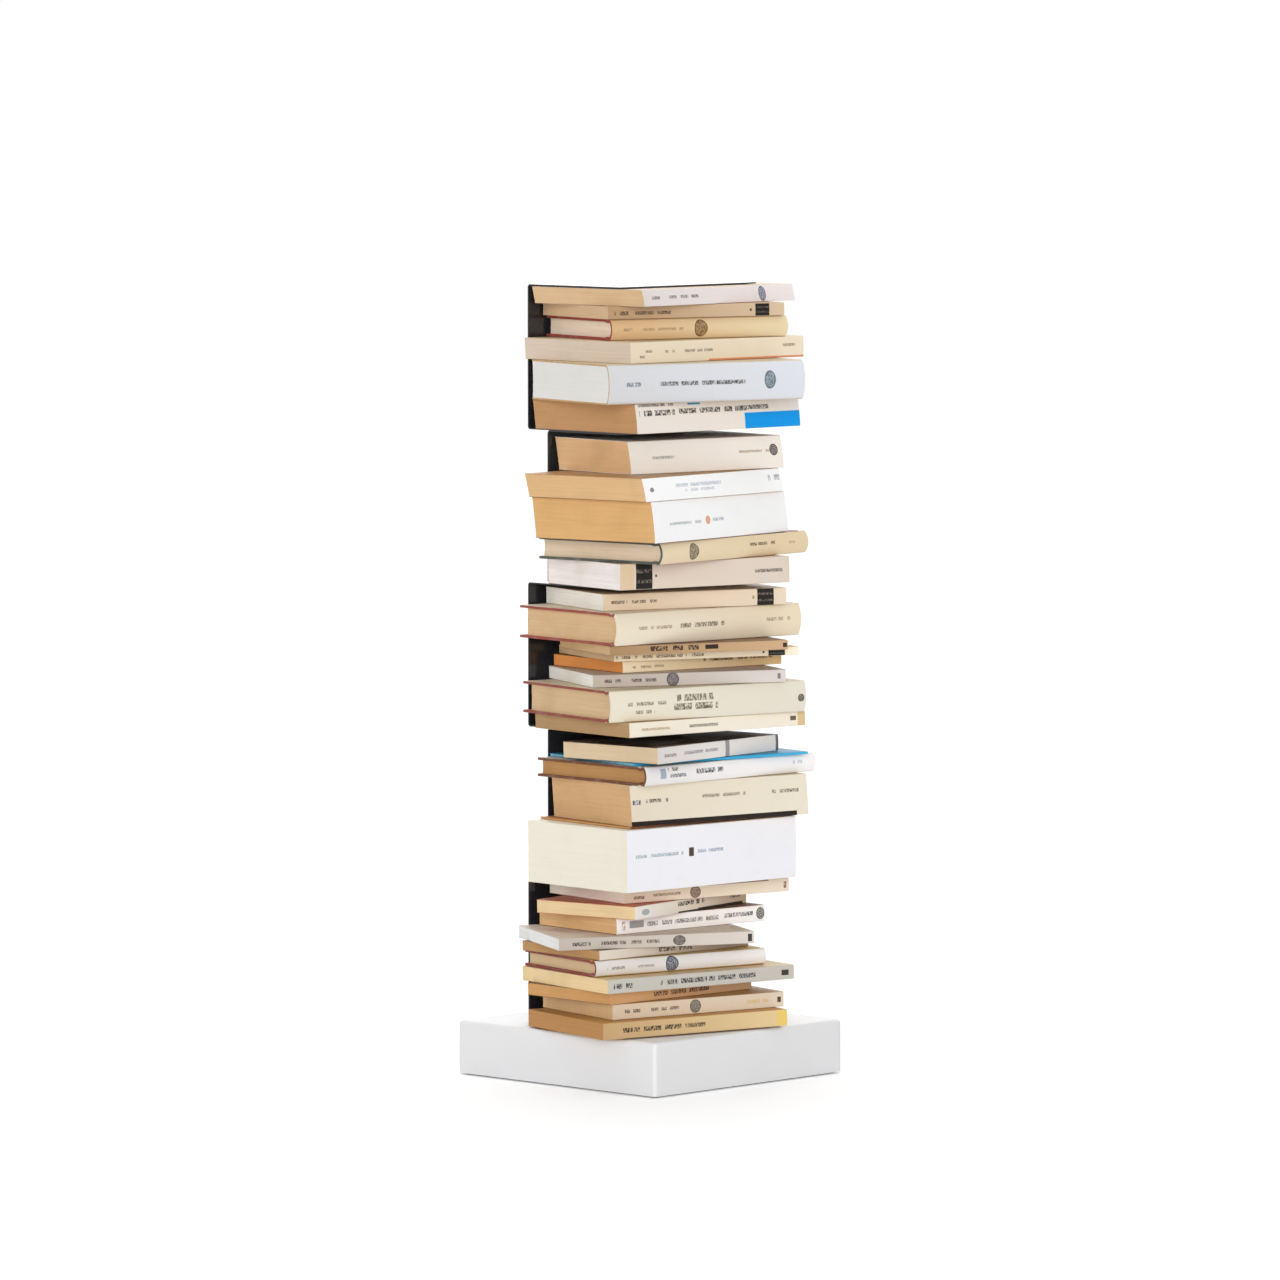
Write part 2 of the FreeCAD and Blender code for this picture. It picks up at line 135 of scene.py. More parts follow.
world = bpy.data.worlds.new("white_room")
bpy.context.scene.world = world
world.use_nodes = True
tree = world.node_tree
path = node(tree, "ShaderNodeLightPath")
seen = calc(tree, "MAXIMUM", path.outputs["Is Camera Ray"], path.outputs["Is Transmission Ray"])
seen = calc(tree, "MAXIMUM", seen, path.outputs["Is Glossy Ray"])
level = calc(tree, "MULTIPLY_ADD", seen, 1 - ROOM_LEVEL, ROOM_LEVEL)
tree.links.new(level, tree.nodes["Background"].inputs["Strength"])
tree.nodes["Background"].inputs["Color"].default_value = (1, 1, 1, 1)


def broad_light(name, direction, spread, level):
    """A soft, distant light; a surface that faces it gets this share of full light."""
    lamp_data = bpy.data.lights.new(name, "SUN")
    lamp_data.angle = math.radians(spread)
    lamp_data.energy = math.pi * level
    lamp = link_object(name, lamp_data)
    lamp.rotation_mode = "QUATERNION"
    lamp.rotation_quaternion = (-Vector(direction)).to_track_quat("-Z", "Y")


broad_light("overhead_light", (0.05, 0.12, 1), 50, 0.40)
broad_light("front_light", (-0.73, -0.66, 0.12), 34, 0.75)
broad_light("back_light", (0.7, 0.6, 0.35), 60, 0.34)


# ------------------------------------------------------------------ plinth cover
# The plinth's cover is a five-sided steel box, its edges rounded and the whole sprayed in satin white
# lacquer. It is open below and stands a hair off the floor on its mat.
MM = 0.001
CREASE_ANGLE = math.radians(32)


def finish_piece(name, mesh, body, materials):
    """Turns a bmesh into a smooth-shaded piece with sharp creases, riding on its body."""
    for face in mesh.faces:
        face.smooth = True
    for edge in mesh.edges:
        if len(edge.link_faces) == 2 and edge.calc_face_angle() > CREASE_ANGLE:
            edge.smooth = False
    data = bpy.data.meshes.new(name)
    mesh.to_mesh(data)
    mesh.free()
    for material in materials:
        data.materials.append(material)
    made = link_object(name, data)
    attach(made, body)
    return made


def paint(code):
    """A colour from its six-figure code, as the shader wants it."""
    shares = [int(code[start:start + 2], 16) / 255 for start in (0, 2, 4)]
    linear = [part / 12.92 if part <= 0.04045 else ((part + 0.055) / 1.055) ** 2.4 for part in shares]
    return tuple(linear) + (1.0,)


def noise(tree, scale, detail=2.0, stretch=(1, 1, 1)):
    """Noise on the piece's own coordinates, in features per metre along each axis."""
    place = node(tree, "ShaderNodeTexCoord")
    mapping = node(tree, "ShaderNodeMapping")
    mapping.inputs["Scale"].default_value = stretch
    tree.links.new(place.outputs["Object"], mapping.inputs["Vector"])
    made = node(tree, "ShaderNodeTexNoise")
    made.inputs["Scale"].default_value = scale
    made.inputs["Detail"].default_value = detail
    tree.links.new(mapping.outputs[0], made.inputs["Vector"])
    return made.outputs["Fac"]


def steps(tree, value, low, high, low_result=0.0, high_result=1.0):
    """A value spread from one range to another and held inside it."""
    made = node(tree, "ShaderNodeMapRange")
    tree.links.new(value, made.inputs["Value"])
    made.inputs["From Min"].default_value = low
    made.inputs["From Max"].default_value = high
    made.inputs["To Min"].default_value = low_result
    made.inputs["To Max"].default_value = high_result
    return made.outputs["Result"]


def blend(tree, share, first, second):
    """Mixes two colours, each a socket or a colour, by a share."""
    made = node(tree, "ShaderNodeMix", data_type="RGBA")
    colours = [socket for socket in made.inputs if socket.type == "RGBA"]
    if isinstance(share, (int, float)):
        made.inputs[0].default_value = share
    else:
        tree.links.new(share, made.inputs[0])
    for socket, value in zip(colours, (first, second)):
        if isinstance(value, tuple):
            socket.default_value = value
        else:
            tree.links.new(value, socket)
    return next(socket for socket in made.outputs if socket.type == "RGBA")


def bump(tree, height, distance, strength=1.0):
    """Raises the shader's surface by a height pattern; distance is the relief in metres."""
    made = node(tree, "ShaderNodeBump")
    made.inputs["Distance"].default_value = distance
    made.inputs["Strength"].default_value = strength
    tree.links.new(height, made.inputs["Height"])
    tree.links.new(made.outputs["Normal"], tree.nodes["Principled BSDF"].inputs["Normal"])


LACQUER_RELIEF = 0.08 * MM
lacquer, tree = new_material("white_lacquer")
shader = tree.nodes["Principled BSDF"]
shader.inputs["Roughness"].default_value = 0.48
shader.inputs["Coat Weight"].default_value = 0.07
shader.inputs["Coat Roughness"].default_value = 0.42
cloud = noise(tree, scale=9, detail=3)
colour = blend(tree, steps(tree, cloud, 0.3, 0.7), paint("e6e6e7"), paint("e2e2e4"))
tree.links.new(colour, shader.inputs["Base Color"])
bump(tree, noise(tree, scale=420), LACQUER_RELIEF)

EDGE_ROUND = 4 * MM
COVER_WALL = 2 * MM
low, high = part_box("base_shell")
mesh = bmesh.new()
bmesh.ops.create_cube(mesh, size=1)
bmesh.ops.scale(mesh, vec=high - low, verts=mesh.verts)
bmesh.ops.translate(mesh, vec=(high + low) / 2, verts=mesh.verts)
rim = [edge for edge in mesh.edges if max(vert.co.z for vert in edge.verts) > low.z + MM]
bmesh.ops.bevel(
    mesh, geom=rim, offset=EDGE_ROUND, offset_type="OFFSET", segments=8, profile=0.5, affect="EDGES",
    clamp_overlap=True, material=-1,
)
open_side = [face for face in mesh.faces if face.normal.z < -0.9]
bmesh.ops.delete(mesh, geom=open_side, context="FACES_ONLY")
bmesh.ops.solidify(mesh, geom=mesh.faces[:], thickness=COVER_WALL)
cover = finish_piece("plinth_cover", mesh, "frame", [lacquer])
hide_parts("base_shell")


# ------------------------------------------------------------------ under the plinth
# A zinc-plated ballast slab on four turned spacer posts, the black plate that closes the cover from below,
# its countersunk screws, and the rubber mat that the whole shelf stands on.
def speckled(name, tone, other, roughness, metallic, grain, relief):
    """A plain finish with a fine grain in its colour and its surface."""
    material, tree = new_material(name)
    shader = tree.nodes["Principled BSDF"]
    shader.inputs["Roughness"].default_value = roughness
    shader.inputs["Metallic"].default_value = metallic
    speck = noise(tree, grain, detail=3)
    colour = blend(tree, steps(tree, speck, 0.35, 0.65), paint(tone), paint(other))
    tree.links.new(colour, shader.inputs["Base Color"])
    bump(tree, speck, relief)
    return material


def dress(node_name, material):
    """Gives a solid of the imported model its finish."""
    slots = frame["nodes"][node_name].data.materials
    slots.clear()
    slots.append(material)


zinc = speckled(
    "zinc_plate", "b9bbc0", "a4a6ac", roughness=0.38, metallic=1.0, grain=160, relief=0.03 * MM
)
rubber = speckled(
    "mat_rubber", "1c1c1d", "262627", roughness=0.85, metallic=0.0, grain=900, relief=0.1 * MM
)
black_plate = speckled(
    "black_plate", "242426", "2b2b2d", roughness=0.55, metallic=0.0, grain=1400, relief=0.03 * MM
)
for node_name in ("ballast_slab", "spacer_posts", "underplate_screws"):
    dress(node_name, zinc)
dress("foot_mat", rubber)
dress("underplate", black_plate)


# ------------------------------------------------------------------ column
# Five strips of 1.2 mm sheet, each folded into a C and riveted plate to plate, powder-coated black with a
# fine satin grain. A little dust greys the coat in patches.
POWDER_RELIEF = 0.05 * MM
DUST_MOST = 0.25
powder, tree = new_material("black_powder_coat")
shader = tree.nodes["Principled BSDF"]
shader.inputs["Roughness"].default_value = 0.2
shader.inputs["Specular IOR Level"].default_value = 0.6
grain = noise(tree, scale=1700)
dust = noise(tree, scale=22, detail=4)
coat = blend(tree, steps(tree, grain, 0.35, 0.7), paint("1d1d20"), paint("29292d"))
dusty = blend(tree, steps(tree, dust, 0.52, 0.8, 0, DUST_MOST), coat, paint("47474b"))
tree.links.new(dusty, shader.inputs["Base Color"])
bump(tree, grain, POWDER_RELIEF, strength=0.6)
for node_name in ("tray_lower", "link_lower", "tray_middle", "link_upper", "tray_upper", "column_screws"):
    dress(node_name, powder)
for joint_number in range(1, 5):
    dress(f"rivets_joint_{joint_number}", powder)


# ------------------------------------------------------------------ books: shape
# Every book is a case or a folded cover round a block of leaves. It lies flat, turned about the upright,
# with its spine to the front. Where it lies and how large it is comes from its solid, and the way it is
# turned from the way it pulls out.

# How much of a round back shows as a hollow in the fore-edge, how unevenly leaves are trimmed, how thick a
# gathering is, and the points that draw a hinge groove, a rounded corner and the back between its corners.
FORE_HOLLOW = 0.25
UNEVEN = 0.12 * MM
GATHERING = 0.9 * MM
GROOVE_POINTS = 8
CORNER_ANGLES = (0, 22, 45, 67, 90)
BACK_LEVELS = 8


class Book:
    """Where a book lies, how large it is and how its back is shaped, in its own axes."""

    def __init__(self, name, lean, crown, narrower=0.0):
        pull = next(joint["axis"] for joint in frame["joints"] if joint["child"] == f"{name}_body")
        self.name = name
        self.turn = math.atan2(pull[0], -pull[1])
        unturned = Matrix.Rotation(-self.turn, 3, "Z")
        corners = [unturned @ vertex.co for vertex in frame["nodes"][name].data.vertices]
        low = Vector([min(corner[axis] for corner in corners) for axis in range(3)])
        high = Vector([max(corner[axis] for corner in corners) for axis in range(3)])
        self.length, self.width, self.thickness = high - low
        middle = Matrix.Rotation(self.turn, 3, "Z") @ ((low + high) / 2)
        self.foot = Vector((middle.x, middle.y, low.z))
        self.lean = lean * MM
        self.crown = crown * MM
        self.narrower = narrower * MM
        self.random = random.Random(name)

    def spine_y(self, share):
        """How far forward the back stands at a share of the thickness."""
        leaning = self.lean * (0.5 - share)
        return -self.width / 2 - leaning + self.crown * (2 * share - 1) ** 2

    def fore_y(self, share):
        """How far back the fore-edge stands at a share of the thickness; hollow where the back is round."""
        leaning = self.lean * (0.5 - share) + abs(self.lean) / 2 + self.narrower
        return self.width / 2 - leaning - FORE_HOLLOW * self.crown * (1 - (2 * share - 1) ** 2)

    def set_down(self, mesh):
        """Turns a mesh made in the book's own axes and moves it to its place."""
        bmesh.ops.rotate(mesh, cent=(0, 0, 0), matrix=Matrix.Rotation(self.turn, 3, "Z"), verts=mesh.verts)
        bmesh.ops.translate(mesh, vec=self.foot, verts=mesh.verts)


def make_pages(book, wall, inset, fore_inset, material):
    """The block of leaves: thin gatherings, each trimmed a hair shorter or longer than the next."""
    low_share = wall / book.thickness
    count = max(3, round((book.thickness - 2 * wall) / GATHERING))
    mesh = bmesh.new()
    bmesh.ops.create_grid(mesh, x_segments=2, y_segments=count, size=0.5)
    trims = [book.random.uniform(-UNEVEN, UNEVEN) for _ in range(count + 1)]
    for vert in mesh.verts:
        across, up = vert.co.x + 0.5, vert.co.y + 0.5
        share = low_share + up * (1 - 2 * low_share)
        back = book.spine_y(share) + wall
        fore = book.fore_y(share) - fore_inset + trims[round(up * count)]
        vert.co = (-book.length / 2 + inset, back + (fore - back) * across, share * book.thickness)
    grown = bmesh.ops.extrude_face_region(mesh, geom=mesh.faces[:])
    far = [item for item in grown["geom"] if isinstance(item, bmesh.types.BMVert)]
    bmesh.ops.translate(mesh, vec=(book.length - 2 * inset, 0, 0), verts=far)
    for vert in mesh.verts:
        vert.co.x += book.random.uniform(-UNEVEN, UNEVEN)
    bmesh.ops.recalc_face_normals(mesh, faces=mesh.faces)
    book.set_down(mesh)
    return finish_piece(f"{book.name}_pages", mesh, f"{book.name}_body", [material])


def make_case(book, wall, groove, corner, materials, jacketed=False):
    """The cover: one outline round both sides and the back, drawn along the book and thickened inwards."""
    arc = [corner * (1 - math.cos(math.radians(angle))) for angle in CORNER_ANGLES]
    span = book.thickness - 2 * corner
    levels = arc + [corner + span * step / BACK_LEVELS for step in range(1, BACK_LEVELS)]
    levels += [book.thickness - level for level in reversed(arc)]
    dips = [groove * math.sin(math.pi * step / (GROOVE_POINTS - 1)) ** 2 for step in range(GROOVE_POINTS)]
    outline = [(book.fore_y(0), 0.0)]
    hinge = book.spine_y(0) + corner
    if groove:
        outline += [(hinge + GROOVE_POINTS * MM - step * MM, dip) for step, dip in enumerate(dips)]
    for level in levels:
        gap = corner - min(corner, level, book.thickness - level)
        rounding = corner - math.sqrt(max(0.0, corner ** 2 - gap ** 2))
        outline.append((book.spine_y(level / book.thickness) + rounding, level))
    if groove:
        hinge = book.spine_y(1) + corner
        outline += [(hinge + (step + 1) * MM, book.thickness - dip) for step, dip in enumerate(dips)]
    outline.append((book.fore_y(1), book.thickness))
    mesh = bmesh.new()
    line = [mesh.verts.new((-book.length / 2, y, z)) for y, z in outline]
    edges = [mesh.edges.new(pair) for pair in zip(line, line[1:])]
    drawn = bmesh.ops.extrude_edge_only(mesh, edges=edges)
    far = [item for item in drawn["geom"] if isinstance(item, bmesh.types.BMVert)]
    bmesh.ops.translate(mesh, vec=(book.length, 0, 0), verts=far)
    mesh.normal_update()
    spine_face = min(mesh.faces, key=lambda face: face.calc_center_median().y)
    if spine_face.normal.y > 0:
        bmesh.ops.reverse_faces(mesh, faces=mesh.faces)
    mesh.normal_update()
    outer = mesh.faces[:]
    for face in outer:
        face.material_index = 0 if face.normal.y < -0.5 else 1
    bmesh.ops.solidify(mesh, geom=outer, thickness=wall)
    if len(materials) > 2:
        kept = set(outer)
        for face in mesh.faces:
            if face not in kept:
                at_back = face.calc_center_median().y < book.spine_y(0.5) + 2 * wall
                face.material_index = 0 if jacketed and at_back else 2
    book.set_down(mesh)
    made = finish_piece(f"{book.name}_cover", mesh, f"{book.name}_body", materials)
    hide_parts(book.name)
    return made


# ------------------------------------------------------------------ books: paper and print
# Leaves toned with age, seen edge on; coated covers, a little rubbed; generic print: broken bars, round
# marks, plain labels and blocks on the backs, a frame line and a panel on the sides; and a few bars and
# blocks of painted shade on the backs.
STREAKS = 0.16
FAINT_STREAKS = 0.05
LEAF_RELIEF = 0.12 * MM


def leaf_paper(name, tone, depth=STREAKS):
    """Stacked leaves: fine level streaks, with paler and darker gatherings and a few toned spots."""
    material, tree = new_material(name)
    shader = tree.nodes["Principled BSDF"]
    shader.inputs["Roughness"].default_value = 0.85
    shader.inputs["Specular IOR Level"].default_value = 0.2
    base = paint(tone)
    red, green, blue = base[:3]
    darker = 1 - 2.2 * depth
    browner = 1 - 3 * depth
    paler = 1 + 0.35 * depth
    dark = (red * darker, green * darker, blue * browner, 1)
    pale = tuple(min(1.0, value * paler) for value in (red, green, blue)) + (1,)
    gatherings = noise(tree, scale=1, detail=2, stretch=(6, 6, 620))
    leaves = noise(tree, scale=1, detail=3, stretch=(25, 25, 4200))
    patches = noise(tree, scale=26, detail=3)
    colour = blend(tree, steps(tree, gatherings, 0.36, 0.66), pale, base)
    colour = blend(tree, steps(tree, leaves, 0.5, 0.78, 0, 0.55), colour, dark)
    colour = blend(tree, steps(tree, patches, 0.5, 0.85, 0, 0.4), colour, dark)
    tree.links.new(colour, shader.inputs["Base Color"])
    bump(tree, leaves, LEAF_RELIEF, strength=0.7)
    return material


def own_axes(tree, book):
    """Along the book from its head, in from its back and up from its foot, in millimetres."""
    place = node(tree, "ShaderNodeTexCoord")
    mapping = node(tree, "ShaderNodeMapping", vector_type="TEXTURE")
    mapping.inputs["Location"].default_value = book.foot
    mapping.inputs["Rotation"].default_value = (0, 0, book.turn)
    mapping.inputs["Scale"].default_value = (MM, MM, MM)
    tree.links.new(place.outputs["Object"], mapping.inputs["Vector"])
    parts = node(tree, "ShaderNodeSeparateXYZ")
    tree.links.new(mapping.outputs[0], parts.inputs[0])
    along = calc(tree, "ADD", parts.outputs["X"], book.length / MM / 2)
    inward = calc(tree, "ADD", parts.outputs["Y"], book.width / MM / 2)
    return along, inward, parts.outputs["Z"]


PRINT_INPUTS = ("Along", "Up", "Start", "End", "Middle", "Height", "Seed")


def print_group(name, fill):
    """A node group that gives one mark's mask, print or painted shade; fill works it out from the group's
    inputs.
    """
    tree = bpy.data.node_groups.new(name, "ShaderNodeTree")
    for socket_name in PRINT_INPUTS:
        tree.interface.new_socket(name=socket_name, in_out="INPUT", socket_type="NodeSocketFloat")
    tree.interface.new_socket(name="Mask", in_out="OUTPUT", socket_type="NodeSocketFloat")
    start = node(tree, "NodeGroupInput")
    end = node(tree, "NodeGroupOutput")
    tree.links.new(fill(tree, *start.outputs[:len(PRINT_INPUTS)]), end.inputs[0])
    return tree


def inside(tree, along, up, start, end, middle, height):
    """One inside the mark's rectangle and nought outside."""
    begun = calc(tree, "GREATER_THAN", along, start)
    wide = calc(tree, "MULTIPLY", begun, calc(tree, "LESS_THAN", along, end))
    offset = calc(tree, "ABSOLUTE", calc(tree, "SUBTRACT", up, middle))
    tall = calc(tree, "LESS_THAN", offset, calc(tree, "MULTIPLY", height, 0.5))
    return calc(tree, "MULTIPLY", wide, tall)


# Strokes in a length equal to the line's height, and how far along that measure they break up its height.
STROKES_PER_HEIGHT = 3.8
STROKE_BREAKS = 0.55
WORDS_PER_MM = 0.13
SEED_STEP = 7.3


def strokes(tree, along, up, middle, height, seed, low=0.30, high=0.60):
    """Short upright strokes as high as the line, like print too small to read."""
    pitch = calc(tree, "DIVIDE", STROKES_PER_HEIGHT, height)
    across = calc(tree, "MULTIPLY", along, pitch)
    breaks = calc(tree, "MULTIPLY", pitch, STROKE_BREAKS)
    risen = calc(tree, "MULTIPLY", calc(tree, "SUBTRACT", up, middle), breaks)
    place = node(tree, "ShaderNodeCombineXYZ")
    for socket, value in zip(place.inputs, (across, risen, seed)):
        tree.links.new(value, socket)
    pattern = node(tree, "ShaderNodeTexNoise")
    pattern.inputs["Scale"].default_value = 1.0
    pattern.inputs["Detail"].default_value = 1.0
    tree.links.new(place.outputs[0], pattern.inputs["Vector"])
    return steps(tree, pattern.outputs["Fac"], low, high)


def fill_line(tree, along, up, start, end, middle, height, seed):
    """A line of strokes broken into words."""
    box = inside(tree, along, up, start, end, middle, height)
    words = node(tree, "ShaderNodeTexNoise", noise_dimensions="1D")
    words.inputs["Detail"].default_value = 0
    words.inputs["Scale"].default_value = 1.0
    shift = calc(tree, "MULTIPLY", seed, SEED_STEP)
    tree.links.new(calc(tree, "MULTIPLY_ADD", along, WORDS_PER_MM, shift), words.inputs["W"])
    spaced = steps(tree, words.outputs["Fac"], 0.33, 0.37)
    letters = strokes(tree, along, up, middle, height, seed)
    return calc(tree, "MULTIPLY", calc(tree, "MULTIPLY", box, spaced), letters)


# Where the ring starts, as a share of the radius squared; how high the strokes inside it are, how faint the
# faintest of the print between them is, and how much stronger they are.
RING_FROM = 0.74
MOTTLE_HEIGHT = 0.22
MOTTLE_PALEST = 0.56
MOTTLE_RANGE = 0.38


def fill_round(tree, along, up, start, end, middle, height, seed):
    """A round or oval emblem: a thin ring and, inside it, fine mottled print."""
    centre = calc(tree, "MULTIPLY", calc(tree, "ADD", start, end), 0.5)
    half = calc(tree, "MULTIPLY", calc(tree, "SUBTRACT", end, start), 0.5)
    across = calc(tree, "DIVIDE", calc(tree, "SUBTRACT", along, centre), half)
    risen = calc(tree, "DIVIDE", calc(tree, "SUBTRACT", up, middle), calc(tree, "MULTIPLY", height, 0.5))
    risen_squared = calc(tree, "MULTIPLY", risen, risen)
    squared = calc(tree, "ADD", calc(tree, "MULTIPLY", across, across), risen_squared)
    ring = calc(tree, "GREATER_THAN", squared, RING_FROM)
    fine = calc(tree, "MULTIPLY", height, MOTTLE_HEIGHT)
    mottle = strokes(tree, along, up, middle, fine, seed, 0.40, 0.56)
    filled = calc(tree, "MAXIMUM", ring, calc(tree, "MULTIPLY_ADD", mottle, MOTTLE_RANGE, MOTTLE_PALEST))
    return calc(tree, "MULTIPLY", calc(tree, "LESS_THAN", squared, 1.0), filled)


# Where the two rows lie, how high they and their strokes are, all in shares of the label's height, and how
# much of the label's ink they leave out.
ROW_OFFSET = 0.2
ROW_HALF = 0.07
ROW_STROKES = 0.25
ROW_PALENESS = 0.22


def fill_label(tree, along, up, start, end, middle, height, seed):
    """A dark label with two rows of faint pale strokes left out of it."""
    box = inside(tree, along, up, start, end, middle, height)
    offset = calc(tree, "ABSOLUTE", calc(tree, "SUBTRACT", up, middle))
    row_middle = calc(tree, "MULTIPLY", height, ROW_OFFSET)
    near_row = calc(tree, "ABSOLUTE", calc(tree, "SUBTRACT", offset, row_middle))
    row = calc(tree, "LESS_THAN", near_row, calc(tree, "MULTIPLY", height, ROW_HALF))
    gaps = strokes(tree, along, up, middle, calc(tree, "MULTIPLY", height, ROW_STROKES), seed, 0.4, 0.65)
    pale = calc(tree, "MULTIPLY", calc(tree, "MULTIPLY", row, gaps), ROW_PALENESS)
    return calc(tree, "MULTIPLY", box, calc(tree, "SUBTRACT", 1.0, pale))


def fill_block(tree, along, up, start, end, middle, height, seed):
    """A plain rectangle: print on most backs, painted shade on a few."""
    return inside(tree, along, up, start, end, middle, height)


MARKS = {
    "line": print_group("print_and_shade_line", fill_line),
    "round": print_group("print_round", fill_round),
    "label": print_group("print_label", fill_label),
    "block": print_group("print_and_shade_block", fill_block),
}


CREASE_RELIEF = 0.12 * MM
BACK_WEAR = 0.04
SEED_SPREAD = 9


def back_paper(book, head_tone, tail_tone, marks):
    """The back: paper that tones from head to tail, its printed marks and a few of painted shade, and a worn,
    faintly creased face.
    """
    material, tree = new_material(f"{book.name}_back")
    shader = tree.nodes["Principled BSDF"]
    shader.inputs["Roughness"].default_value = 0.55
    shader.inputs["Specular IOR Level"].default_value = 0.22
    along, _, up = own_axes(tree, book)
    toned = steps(tree, along, 0, book.length / MM)
    colour = blend(tree, toned, paint(head_tone), paint(tail_tone))
    for number, (kind, start, end, middle, height, mark_colour) in enumerate(marks):
        mark = node(tree, "ShaderNodeGroup", node_tree=MARKS[kind])
        tree.links.new(along, mark.inputs["Along"])
        tree.links.new(up, mark.inputs["Up"])
        seed = number + book.random.random() * SEED_SPREAD
        values = (start, end, middle * book.thickness / MM, height, seed)
        for socket_name, value in zip(PRINT_INPUTS[2:], values):
            mark.inputs[socket_name].default_value = value
        # Each mark is print, except the few strips of painted shade in the tables.
        colour = blend(tree, mark.outputs[0], colour, paint(mark_colour))
    worn = noise(tree, scale=60, detail=4)
    colour = blend(tree, steps(tree, worn, 0.55, 0.8, 0, BACK_WEAR), colour, paint("8a6f52"))
    tree.links.new(colour, shader.inputs["Base Color"])
    creases = noise(tree, scale=1, detail=2, stretch=(18, 18, 500))
    bump(tree, creases, CREASE_RELIEF, strength=0.35)
    return material


# The frame line's place and width in mm, its tone against the cover's and how strongly it prints; the panel's
# reach along and across the cover, in shares; and how much the cover is rubbed.
FRAME_IN = 7.5
FRAME_LINE = 1.1
FRAME_DEPTH = 0.55
FRAME_SHARE = 0.5
PANEL_FROM, PANEL_TO = 0.14, 0.36
PANEL_HEIGHT = 0.62
PANEL_SHARE = 0.4
SIDE_WEAR = 0.25
SIDE_RELIEF = 0.03 * MM


def cover_paper(book, tone, edge_tone):
    """The sides of a cover: card with a printed frame line and a plain panel, rubbed in patches."""
    material, tree = new_material(f"{book.name}_sides")
    shader = tree.nodes["Principled BSDF"]
    shader.inputs["Roughness"].default_value = 0.48
    shader.inputs["Specular IOR Level"].default_value = 0.35
    along, inward, _ = own_axes(tree, book)
    length, width = book.length / MM, book.width / MM
    from_ends = calc(tree, "MINIMUM", along, calc(tree, "SUBTRACT", length, along))
    from_sides = calc(tree, "MINIMUM", inward, calc(tree, "SUBTRACT", width, inward))
    line = calc(tree, "COMPARE", calc(tree, "MINIMUM", from_ends, from_sides), FRAME_IN, FRAME_LINE / 2)
    panel_from, panel_to = PANEL_FROM * length, PANEL_TO * length
    panel = inside(tree, along, inward, panel_from, panel_to, width / 2, PANEL_HEIGHT * width)
    printed = tuple(FRAME_DEPTH * value for value in paint(tone)[:3]) + (1.0,)
    paler = tuple(0.6 * value + 0.34 for value in paint(tone)[:3]) + (1.0,)
    card = blend(tree, calc(tree, "MULTIPLY", line, FRAME_SHARE), paint(tone), printed)
    card = blend(tree, calc(tree, "MULTIPLY", panel, PANEL_SHARE), card, paler)
    worn = noise(tree, scale=34, detail=4)
    colour = blend(tree, steps(tree, worn, 0.42, 0.8, 0, SIDE_WEAR), card, paint(edge_tone))
    tree.links.new(colour, shader.inputs["Base Color"])
    bump(tree, noise(tree, scale=700), SIDE_RELIEF, strength=0.4)
    return material
